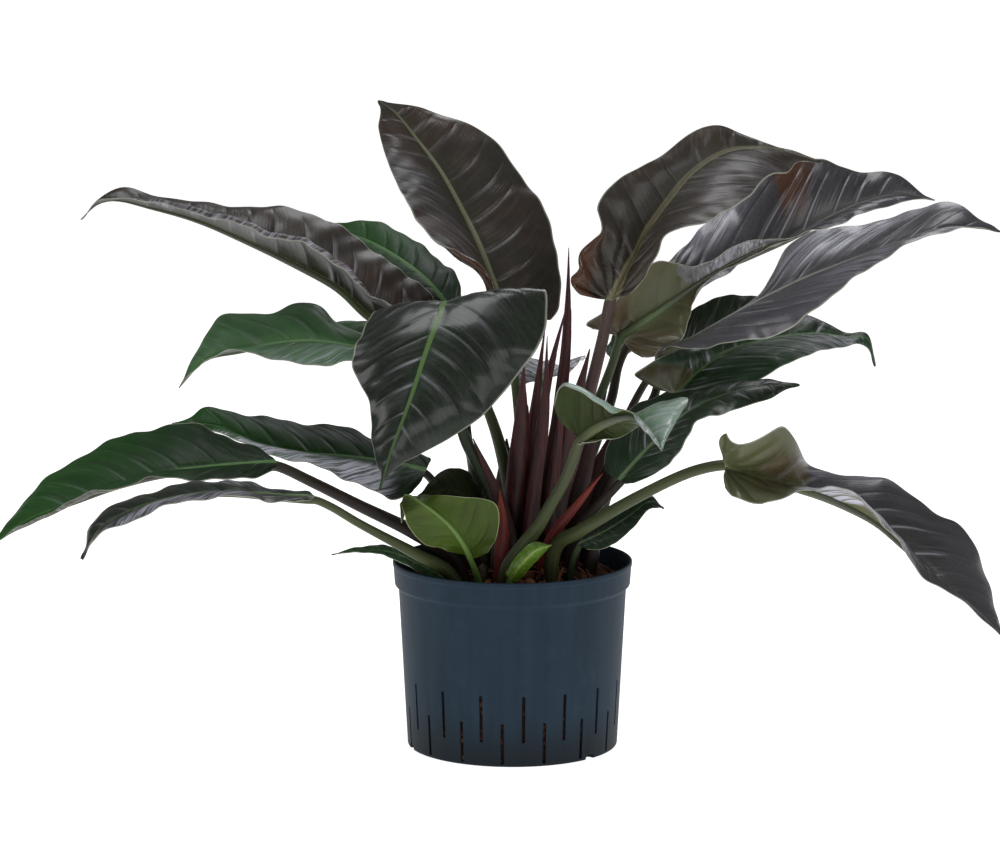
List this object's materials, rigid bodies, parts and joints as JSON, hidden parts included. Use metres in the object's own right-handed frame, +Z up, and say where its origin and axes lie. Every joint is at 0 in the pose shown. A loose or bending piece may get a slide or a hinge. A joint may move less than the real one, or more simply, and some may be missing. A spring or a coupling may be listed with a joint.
{
  "type": "potted imperial red philodendron",
  "caption": "Bushy potted plant with long-stalked, glossy, lance-shaped leaves in bronze and green, rolled red spears and a slotted round pot filled with clay pebbles.",
  "frame": {"origin": "middle of the pot's flat base, on the surface it stands on", "axes": "+Z up along the pot's axis, -Y towards the viewer of the picture, +X to the viewer's right"},
  "size_m": [1.0272, 0.6559, 0.6624],
  "materials": {
    "pot": "matt, blue-grey",
    "clay": "matt, porous, red-brown",
    "leaf_bronze": "glossy, bronze green",
    "leaf_grey": "glossy, purple grey",
    "leaf_green": "glossy, green",
    "leaf_dark": "glossy, dark green",
    "leaf_pale": "satin, pale green",
    "leaf_new": "satin, yellow-green",
    "leaf_olive": "satin, olive",
    "spear": "satin, maroon",
    "sheath": "satin, red",
    "stem": "matt, olive brown"
  },
  "bodies": {
    "root": {"pot": "pot", "substrate": "clay", "leaf_top_centre": "leaf_bronze", "leaf_front_left": "leaf_grey", "leaf_long_left": "leaf_bronze", "leaf_back_left": "leaf_green", "leaf_mid_left": "leaf_green", "leaf_low_left": "leaf_green", "leaf_inner_left": "leaf_green", "leaf_narrow_left": "leaf_grey", "leaf_small_left": "leaf_green", "leaf_pale_front": "leaf_pale", "leaf_small_dark": "leaf_dark", "leaf_new_front": "leaf_new", "leaf_pale_right": "leaf_pale", "leaf_top_right": "leaf_bronze", "leaf_far_right": "leaf_bronze", "leaf_olive_right": "leaf_olive", "leaf_long_right": "leaf_grey", "leaf_behind_right": "leaf_dark", "leaf_mid_right": "leaf_green", "leaf_inner_right": "leaf_green", "leaf_low_right": "leaf_grey", "leaf_small_right": "leaf_dark", "leaf_edge_back": "leaf_grey", "leaf_rear_left": "leaf_green", "leaf_rear_centre": "leaf_green", "leaf_rear_right": "leaf_green", "spear_tall": "spear", "spear_thin": "spear", "spear_middle": "spear", "spear_front": "spear", "spear_wide": "spear", "spear_right": "spear", "sheath_red": "sheath", "sheath_orange": "sheath", "stem_left": "stem", "stem_right": "stem", "stem_front": "stem"}
  },
  "joints": []
}
